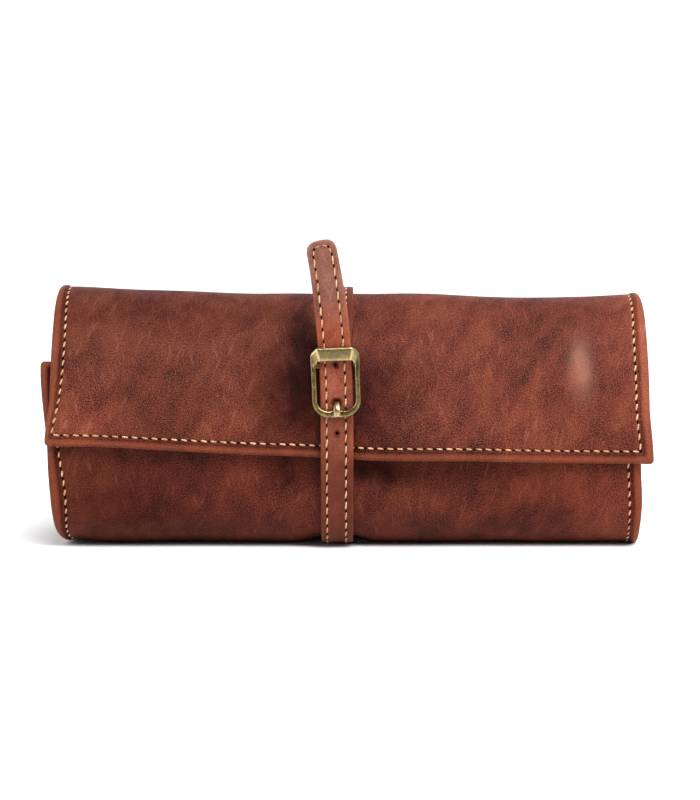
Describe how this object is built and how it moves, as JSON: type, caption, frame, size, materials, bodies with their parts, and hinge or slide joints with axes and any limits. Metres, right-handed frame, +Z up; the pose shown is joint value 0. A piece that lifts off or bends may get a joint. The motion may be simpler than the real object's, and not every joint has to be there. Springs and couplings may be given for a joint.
{
  "type": "leather brush roll case",
  "caption": "Lined leather brush roll wound round an empty core, with inner pockets and an outer strap that closes with a brass frame buckle.",
  "frame": {"origin": "The middle of the bounding box in X and Y, on the plane that the closed roll lies on.", "axes": "+X runs along the roll, to the right as seen from the front; +Y points from the buckled front to the back; +Z is up."},
  "size_m": [0.295, 0.1003, 0.1501],
  "materials": {
    "cover_leather": "satin",
    "lining_leather": "matt",
    "pocket_leather": "matt",
    "strap_leather": "satin",
    "brass": "aged",
    "thread": "waxed"
  },
  "bodies": {
    "base": {"cover_base": "cover_leather", "lining_base": "lining_leather", "pocket_base": "pocket_leather", "strap_base": "strap_leather"},
    "flap_lower": {"cover_flap_lower": "cover_leather", "lining_flap_lower": "lining_leather"},
    "flap_upper": {"cover_flap_upper": "cover_leather", "lining_flap_upper": "lining_leather", "strap_chape": "strap_leather"},
    "crest_4": {"cover_crest_4": "cover_leather", "lining_crest_4": "lining_leather", "strap_crest_4": "strap_leather"},
    "crest_3": {"cover_crest_3": "cover_leather", "lining_crest_3": "lining_leather", "strap_crest_3": "strap_leather"},
    "crest_2": {"cover_crest_2": "cover_leather", "lining_crest_2": "lining_leather", "strap_crest_2": "strap_leather"},
    "crest_1": {"cover_crest_1": "cover_leather", "lining_crest_1": "lining_leather", "pocket_crest_1": "pocket_leather", "strap_crest_1": "strap_leather"},
    "back_3": {"cover_back_3": "cover_leather", "lining_back_3": "lining_leather", "pocket_back_3": "pocket_leather", "strap_back_3": "strap_leather"},
    "back_2": {"cover_back_2": "cover_leather", "lining_back_2": "lining_leather", "pocket_back_2": "pocket_leather", "strap_back_2": "strap_leather"},
    "back_1": {"cover_back_1": "cover_leather", "lining_back_1": "lining_leather", "pocket_back_1": "pocket_leather", "strap_back_1": "strap_leather"},
    "front_1": {"cover_front_1": "cover_leather", "lining_front_1": "lining_leather", "pocket_front_1": "pocket_leather", "strap_front_1": "strap_leather"},
    "front_2": {"cover_front_2": "cover_leather", "lining_front_2": "lining_leather", "pocket_front_2": "pocket_leather", "strap_front_2": "strap_leather"},
    "front_3": {"cover_front_3": "cover_leather", "lining_front_3": "lining_leather", "pocket_front_3": "pocket_leather"},
    "billet": {"strap_billet": "strap_leather"},
    "strap_end": {"strap_tip": "strap_leather"},
    "buckle": {"buckle_frame": "brass", "buckle_bar": "brass"},
    "tongue": {"buckle_tongue": "brass"}
  },
  "joints": [
    {"name": "back_unroll", "type": "hinge", "parent": "back_1", "child": "back_2", "pos_m": [0, 0.03781, 0.0106], "axis": [-1, 0, 0], "range_deg": [0, 42], "deforming": ["cover_back_2", "lining_back_2", "pocket_back_2", "strap_back_2"]},
    {"name": "back_1_bend", "type": "hinge", "parent": "base", "child": "back_1", "pos_m": [0, 0.01693, 0.00011], "axis": [-1, 0, 0], "range_deg": [0, 25.1], "deforming": ["cover_back_1", "lining_back_1", "pocket_back_1", "strap_back_1", "cover_base", "lining_base", "pocket_base", "strap_base"]},
    {"name": "back_3_bend", "type": "hinge", "parent": "back_2", "child": "back_3", "pos_m": [0, 0.04544, 0.03386], "axis": [-1, 0, 0], "range_deg": [0, 21.4], "deforming": ["cover_back_3", "lining_back_3", "pocket_back_3", "strap_back_3"]},
    {"name": "flap_unroll", "type": "hinge", "parent": "crest_2", "child": "crest_3", "pos_m": [0, 0.01042, 0.12169], "axis": [-1, 0, 0], "range_deg": [0, 30.8], "deforming": ["cover_crest_3", "lining_crest_3", "strap_crest_3"]},
    {"name": "crest_1_bend", "type": "hinge", "parent": "back_3", "child": "crest_1", "pos_m": [0, 0.04163, 0.08139], "axis": [-1, 0, 0], "range_deg": [0, 21.5], "deforming": ["cover_crest_1", "lining_crest_1", "pocket_crest_1", "strap_crest_1"]},
    {"name": "crest_2_bend", "type": "hinge", "parent": "crest_1", "child": "crest_2", "pos_m": [0, 0.02607, 0.11142], "axis": [-1, 0, 0], "range_deg": [0, 27.6], "deforming": ["cover_crest_2", "lining_crest_2", "strap_crest_2"]},
    {"name": "crest_4_bend", "type": "hinge", "parent": "crest_3", "child": "crest_4", "pos_m": [0, -0.00735, 0.12173], "axis": [-1, 0, 0], "range_deg": [0, 31.1], "deforming": ["cover_crest_4", "lining_crest_4", "strap_crest_4"]},
    {"name": "flap_upper_bend", "type": "hinge", "parent": "crest_4", "child": "flap_upper", "pos_m": [0, -0.02305, 0.11154], "axis": [-1, 0, 0], "range_deg": [0, 29.4], "deforming": ["cover_flap_upper", "lining_flap_upper", "strap_chape"]},
    {"name": "flap_lower_bend", "type": "hinge", "parent": "flap_upper", "child": "flap_lower", "pos_m": [0, -0.04028, 0.07576], "axis": [-1, 0, 0], "range_deg": [0, 12.3], "deforming": ["cover_flap_lower", "lining_flap_lower"]},
    {"name": "front_unroll", "type": "hinge", "parent": "front_1", "child": "front_2", "pos_m": [0, -0.03305, 0.01212], "axis": [1, 0, 0], "range_deg": [0, 39.8], "deforming": ["cover_front_2", "lining_front_2", "pocket_front_2", "strap_front_2"]},
    {"name": "front_1_bend", "type": "hinge", "parent": "base", "child": "front_1", "pos_m": [0, -0.01206, 0.00012], "axis": [1, 0, 0], "range_deg": [0, 24.1], "deforming": ["cover_front_1", "lining_front_1", "pocket_front_1", "strap_front_1"]},
    {"name": "front_3_bend", "type": "hinge", "parent": "front_2", "child": "front_3", "pos_m": [0, -0.03913, 0.04507], "axis": [1, 0, 0], "range_deg": [0, 17.1], "deforming": ["cover_front_3", "lining_front_3", "pocket_front_3"]},
    {"name": "billet_bend", "type": "hinge", "parent": "front_2", "child": "billet", "pos_m": [0, -0.0467, 0.046], "axis": [1, 0, 0], "range_deg": [0, 11.3], "deforming": ["strap_billet"]},
    {"name": "strap_end_flex", "type": "hinge", "parent": "billet", "child": "strap_end", "pos_m": [0, -0.0451, 0.1004], "axis": [1, 0, 0], "range_deg": [-10, 15], "deforming": ["strap_tip"]},
    {"name": "buckle_tilt", "type": "hinge", "parent": "flap_upper", "child": "buckle", "pos_m": [0, -0.04045, 0.09], "axis": [-1, 0, 0], "range_deg": [0, 12.3]},
    {"name": "tongue_lift", "type": "hinge", "parent": "buckle", "child": "tongue", "pos_m": [0, -0.04045, 0.09], "axis": [-1, 0, 0], "range_deg": [0, 20.3]}
  ],
  "couplings": [
    {"joint": "back_1_bend", "follows": "back_unroll", "ratio": 0.5904},
    {"joint": "back_3_bend", "follows": "back_unroll", "ratio": 0.5029},
    {"joint": "crest_1_bend", "follows": "flap_unroll", "ratio": 0.6883},
    {"joint": "crest_2_bend", "follows": "flap_unroll", "ratio": 0.8863},
    {"joint": "crest_4_bend", "follows": "flap_unroll", "ratio": 1},
    {"joint": "flap_upper_bend", "follows": "flap_unroll", "ratio": 0.9447},
    {"joint": "flap_lower_bend", "follows": "flap_unroll", "ratio": 0.3895},
    {"joint": "front_1_bend", "follows": "front_unroll", "ratio": 0.597},
    {"joint": "front_3_bend", "follows": "front_unroll", "ratio": 0.4217},
    {"joint": "billet_bend", "follows": "front_unroll", "ratio": 0.2764},
    {"joint": "buckle_tilt", "follows": "flap_unroll", "ratio": 0.3896},
    {"joint": "tongue_lift", "follows": "flap_unroll", "ratio": 0.6494}
  ]
}
